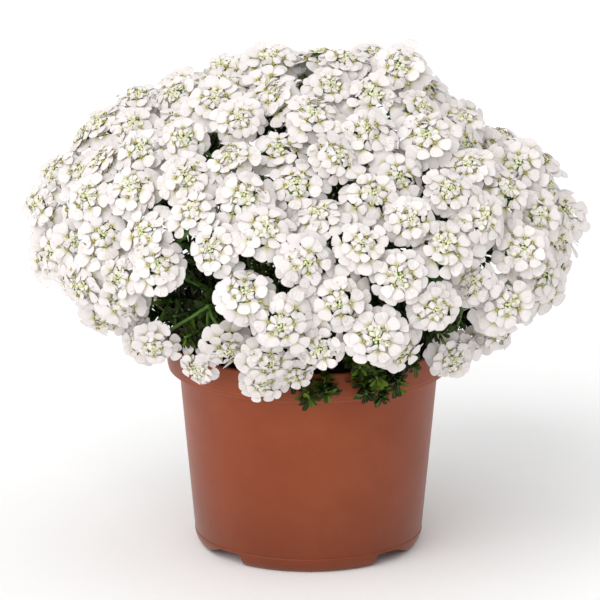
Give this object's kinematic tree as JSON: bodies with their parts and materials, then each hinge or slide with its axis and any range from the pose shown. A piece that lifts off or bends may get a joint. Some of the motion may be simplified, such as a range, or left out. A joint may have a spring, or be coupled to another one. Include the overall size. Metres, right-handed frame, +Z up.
{
  "type": "potted white shadows evergreen candytuft",
  "caption": "Evergreen candytuft in full white flower, a dome of flattened heads over dark leaves, growing in a wide terracotta-coloured plastic pot.",
  "frame": {"origin": "middle of the plant's footprint, on the surface that the pot stands on; the pot's own axis is 5.38 mm along X and -6.61 mm along Y from it", "axes": "+Z up, -Y towards the side that the picture shows"},
  "size_m": [0.3668, 0.3682, 0.341],
  "materials": {
    "pot_plastic": "moulded plastic coloured like terracotta, fine matte grain",
    "peat_soil": "moist peat and bark crumb, matte",
    "woody_stem": "thin brown bark, matte",
    "leaf": "leathery dark evergreen leaf, slightly glossy",
    "petal": "thin white petals, soft matte, yellow-green middles"
  },
  "bodies": {
    "root": {"pot": "pot_plastic", "soil": "peat_soil", "woody_crown": "woody_stem", "leafy_stems_01": "leaf", "leafy_stems_02": "leaf", "leafy_stems_03": "leaf", "leafy_stems_04": "leaf", "leafy_stems_05": "leaf", "leafy_stems_06": "leaf", "leafy_stems_07": "leaf", "leafy_stems_08": "leaf", "flower_spray_01": "petal", "flower_spray_02": "petal", "flower_spray_03": "petal", "flower_spray_04": "petal", "flower_spray_05": "petal", "flower_spray_06": "petal", "flower_spray_07": "petal", "flower_spray_08": "petal", "flower_spray_09": "petal", "flower_spray_10": "petal", "flower_spray_11": "petal", "flower_spray_12": "petal", "flower_spray_13": "petal", "flower_spray_14": "petal", "flower_spray_15": "petal", "flower_spray_16": "petal", "flower_spray_17": "petal", "flower_spray_18": "petal", "flower_spray_19": "petal", "flower_spray_20": "petal", "flower_spray_21": "petal", "flower_spray_22": "petal", "flower_spray_23": "petal", "flower_spray_24": "petal", "flower_spray_25": "petal", "flower_spray_26": "petal", "flower_spray_27": "petal", "flower_spray_28": "petal", "flower_spray_29": "petal", "flower_spray_30": "petal", "flower_spray_31": "petal", "flower_spray_32": "petal", "flower_spray_33": "petal", "flower_spray_34": "petal", "flower_spray_35": "petal", "flower_spray_36": "petal", "flower_spray_37": "petal", "flower_spray_38": "petal", "flower_spray_39": "petal", "flower_spray_40": "petal", "flower_spray_41": "petal", "flower_spray_42": "petal", "flower_spray_43": "petal", "flower_spray_44": "petal", "flower_spray_45": "petal", "flower_spray_46": "petal", "flower_spray_47": "petal", "flower_spray_48": "petal"}
  },
  "joints": []
}
